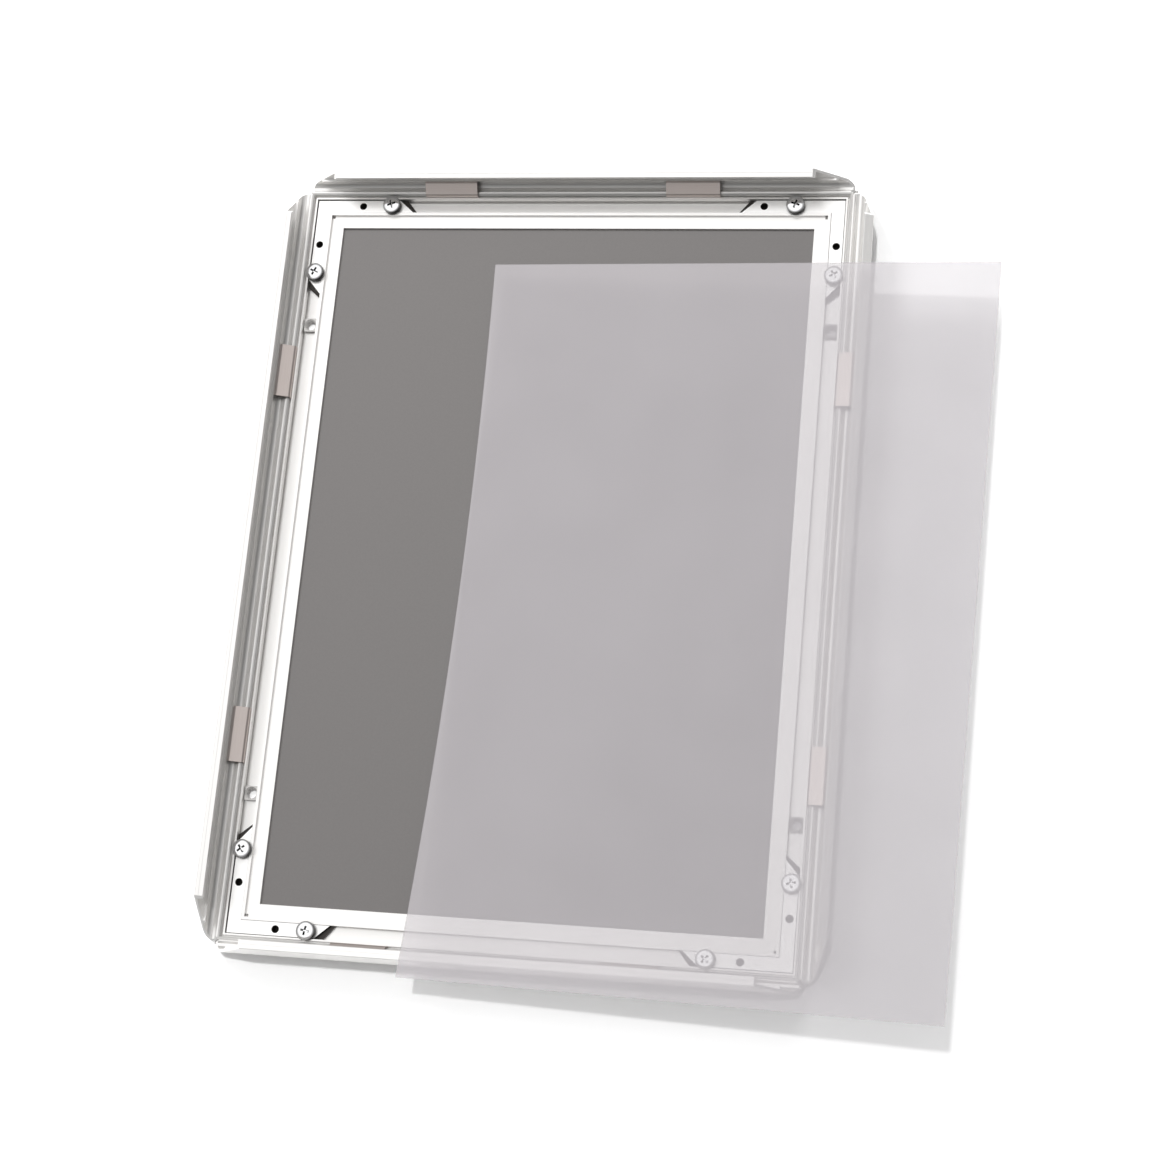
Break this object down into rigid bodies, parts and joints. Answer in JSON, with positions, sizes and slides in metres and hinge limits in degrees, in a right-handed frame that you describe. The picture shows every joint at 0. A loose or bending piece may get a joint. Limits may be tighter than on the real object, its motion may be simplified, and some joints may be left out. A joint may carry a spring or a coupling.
{
  "type": "clip frame",
  "caption": "Portrait clip frame for an A4 print, lying open: mitred metal base, four hinged clip rails, sprung, with its clear cover sheet lifted out.",
  "frame": {"origin": "centre of the four wall holes, on the back plane of the frame", "axes": "+Z out of the front of the frame, +Y to the top edge of the picture, +X to its right edge"},
  "size_m": [0.2999, 0.3383, 0.04],
  "materials": {
    "base_aluminium": "satin anodised, fine extrusion lines",
    "rail_aluminium": "satin anodised, fine extrusion lines",
    "spring_steel": "rolled strip, slightly warm grey",
    "bracket_steel": "bright zinc plated",
    "chrome_screws": "polished",
    "bush_plastic": "moulded",
    "panel_board": "matt, fine tooth",
    "clear_sheet": "clear, slightly hazy"
  },
  "bodies": {
    "base_frame": {"base_profile_top": "base_aluminium", "base_profile_left": "base_aluminium", "base_profile_bottom": "base_aluminium", "base_profile_right": "base_aluminium", "leaf_spring_top_left": "spring_steel", "leaf_spring_top_right": "spring_steel", "leaf_spring_left_upper": "spring_steel", "leaf_spring_left_lower": "spring_steel", "leaf_spring_bottom_left": "spring_steel", "leaf_spring_bottom_right": "spring_steel", "leaf_spring_right_upper": "spring_steel", "leaf_spring_right_lower": "spring_steel", "corner_bracket_top_left": "bracket_steel", "corner_bracket_top_right": "bracket_steel", "corner_bracket_bottom_left": "bracket_steel", "corner_bracket_bottom_right": "bracket_steel", "bracket_screws_top_left": "chrome_screws", "bracket_screws_top_right": "chrome_screws", "bracket_screws_bottom_left": "chrome_screws", "bracket_screws_bottom_right": "chrome_screws", "wall_bush_left_upper": "bush_plastic", "wall_bush_left_lower": "bush_plastic", "wall_bush_right_upper": "bush_plastic", "wall_bush_right_lower": "bush_plastic", "back_panel": "panel_board"},
    "rail_top": {"clip_rail_top": "rail_aluminium"},
    "rail_left": {"clip_rail_left": "rail_aluminium"},
    "rail_bottom": {"clip_rail_bottom": "rail_aluminium"},
    "rail_right": {"clip_rail_right": "rail_aluminium"},
    "cover_sheet": {"cover_sheet": "clear_sheet"}
  },
  "joints": [
    {"name": "clip_top", "type": "hinge", "parent": "base_frame", "child": "rail_top", "pos_m": [0, 0.1595, 0.005], "axis": [1, 0, 0], "range_deg": [-26.5, 85], "deforming": ["leaf_spring_top_left", "leaf_spring_top_right"]},
    {"name": "clip_left", "type": "hinge", "parent": "base_frame", "child": "rail_left", "pos_m": [-0.116, 0, 0.005], "axis": [0, 1, 0], "range_deg": [-17, 94.5], "deforming": ["leaf_spring_left_upper", "leaf_spring_left_lower"]},
    {"name": "clip_bottom", "type": "hinge", "parent": "base_frame", "child": "rail_bottom", "pos_m": [0, -0.1595, 0.005], "axis": [-1, 0, 0], "range_deg": [-25, 86.5], "deforming": ["leaf_spring_bottom_left", "leaf_spring_bottom_right"]},
    {"name": "clip_right", "type": "hinge", "parent": "base_frame", "child": "rail_right", "pos_m": [0.116, 0, 0.005], "axis": [0, -1, 0], "range_deg": [-1, 110.5], "deforming": ["leaf_spring_right_upper", "leaf_spring_right_lower"]},
    {"name": "sheet_lift", "type": "slide", "parent": "base_frame", "child": "cover_sheet", "axis": [0, 0, 1], "range_m": [0, 0.15]}
  ]
}
